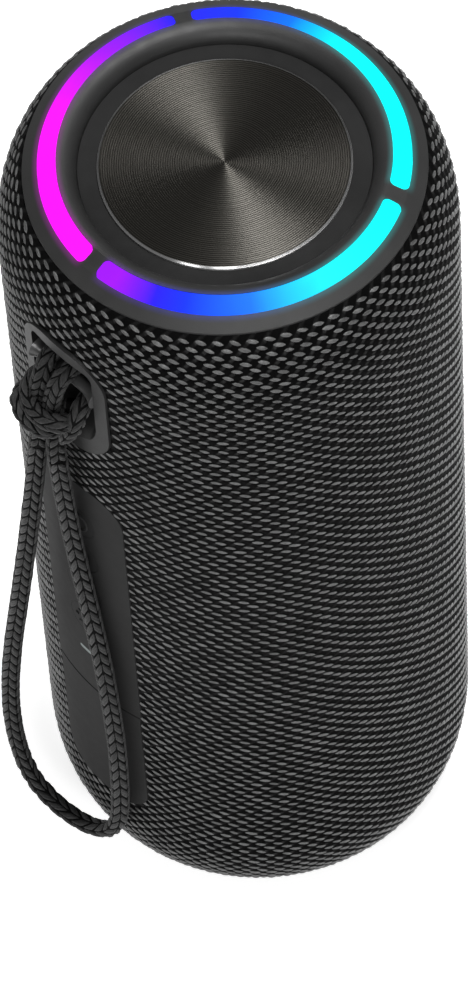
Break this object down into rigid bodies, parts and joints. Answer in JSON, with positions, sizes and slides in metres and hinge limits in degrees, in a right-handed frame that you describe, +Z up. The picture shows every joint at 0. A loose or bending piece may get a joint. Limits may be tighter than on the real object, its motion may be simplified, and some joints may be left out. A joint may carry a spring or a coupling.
{
  "type": "portable bluetooth speaker",
  "caption": "Upright cylindrical portable speaker in woven fabric with a metal passive radiator and coloured light ring on top, rubber control panel, port flap and braided hanging loop.",
  "frame": {"origin": "centre of the foot's underside, on the surface the speaker stands on", "axes": "+Z up along the cylinder, -Y out of the control panel and strap mount, drivers face +X and -X"},
  "size_m": [0.09, 0.0998, 0.2185],
  "materials": {
    "fabric": "open woven polyester, light yarn floats on black",
    "housing_plastic": "matte",
    "ring_plastic": "fine matte",
    "panel_rubber": "smooth matte",
    "foot_rubber": "matte",
    "surround_rubber": "matte",
    "gasket_rubber": "matte",
    "spun_metal": "spun, dark anodised",
    "steel": "plain",
    "magnet_steel": "plated",
    "paper_cone": "pulp",
    "light_guide": "frosted",
    "led_lens": "frosted",
    "board": "solder mask",
    "switch_plastic": "satin",
    "cell_wrap": "shrink wrap",
    "cord_braid": "braided polyester"
  },
  "bodies": {
    "speaker": {"fabric_sleeve": "fabric", "housing": "housing_plastic", "top_end_ring": "ring_plastic", "bottom_end_ring": "ring_plastic", "rubber_foot": "foot_rubber", "top_gasket": "gasket_rubber", "bottom_gasket": "gasket_rubber", "light_guide_right": "light_guide", "light_guide_back": "light_guide", "light_guide_left": "light_guide", "light_board": "board", "top_radiator_frame": "housing_plastic", "top_radiator_surround": "surround_rubber", "bottom_radiator_frame": "housing_plastic", "bottom_radiator_surround": "surround_rubber", "strap_mount_plate": "ring_plastic", "strap_bar": "ring_plastic", "control_panel": "panel_rubber", "status_led_lens": "led_lens", "button_board": "board", "tact_switches": "switch_plastic", "port_tray": "housing_plastic", "usb_socket": "steel", "aux_socket": "switch_plastic", "chassis": "housing_plastic", "main_board": "board", "board_screws": "steel", "battery_holder": "housing_plastic", "battery_cells": "cell_wrap", "driver_screws": "steel", "right_driver_basket": "magnet_steel", "right_driver_magnet": "magnet_steel", "right_driver_surround": "surround_rubber", "left_driver_basket": "magnet_steel", "left_driver_magnet": "magnet_steel", "left_driver_surround": "surround_rubber"},
    "lanyard": {"lanyard_loop": "cord_braid", "lanyard_hitch": "cord_braid"},
    "flap": {"port_flap": "panel_rubber"},
    "top_radiator": {"top_radiator_disc": "spun_metal", "top_radiator_weight": "steel"},
    "bottom_radiator": {"bottom_radiator_disc": "spun_metal", "bottom_radiator_weight": "steel"},
    "right_cone": {"right_driver_cone": "paper_cone"},
    "left_cone": {"left_driver_cone": "paper_cone"},
    "power_button": {"power_button": "panel_rubber"},
    "pairing_button": {"pairing_button": "panel_rubber"},
    "play_button": {"play_button": "panel_rubber"},
    "light_button": {"light_button": "panel_rubber"}
  },
  "joints": [
    {"name": "power_button_press", "type": "slide", "parent": "speaker", "child": "power_button", "axis": [0, 1, 0], "range_m": [0, 0.0005], "stiffness_N_per_m": 3000},
    {"name": "pairing_button_press", "type": "slide", "parent": "speaker", "child": "pairing_button", "axis": [0, 1, 0], "range_m": [0, 0.0005], "stiffness_N_per_m": 3000},
    {"name": "play_button_press", "type": "slide", "parent": "speaker", "child": "play_button", "axis": [0, 1, 0], "range_m": [0, 0.0005], "stiffness_N_per_m": 3000},
    {"name": "light_button_press", "type": "slide", "parent": "speaker", "child": "light_button", "axis": [0, 1, 0], "range_m": [0, 0.0005], "stiffness_N_per_m": 3000},
    {"name": "flap_open", "type": "hinge", "parent": "speaker", "child": "flap", "pos_m": [0, -0.0453, 0.0306], "axis": [1, 0, 0], "range_deg": [0, 110], "deforming": ["lanyard_loop"]},
    {"name": "top_radiator_move", "type": "slide", "parent": "speaker", "child": "top_radiator", "axis": [0, 0, 1], "range_m": [-0.0012, 0.0012], "stiffness_N_per_m": 3200, "deforming": ["top_radiator_surround"]},
    {"name": "bottom_radiator_move", "type": "slide", "parent": "speaker", "child": "bottom_radiator", "axis": [0, 0, -1], "range_m": [-0.0012, 0.0012], "stiffness_N_per_m": 3200, "deforming": ["bottom_radiator_surround"]},
    {"name": "right_cone_move", "type": "slide", "parent": "speaker", "child": "right_cone", "axis": [1, 0, 0], "range_m": [-0.001, 0.001], "stiffness_N_per_m": 2000, "deforming": ["right_driver_surround"]},
    {"name": "left_cone_move", "type": "slide", "parent": "speaker", "child": "left_cone", "axis": [-1, 0, 0], "range_m": [-0.001, 0.001], "stiffness_N_per_m": 2000, "deforming": ["left_driver_surround"]},
    {"name": "lanyard_swing", "type": "hinge", "parent": "speaker", "child": "lanyard", "pos_m": [0, -0.0433, 0.189], "axis": [-1, 0, 0], "range_deg": [0, 85]}
  ]
}
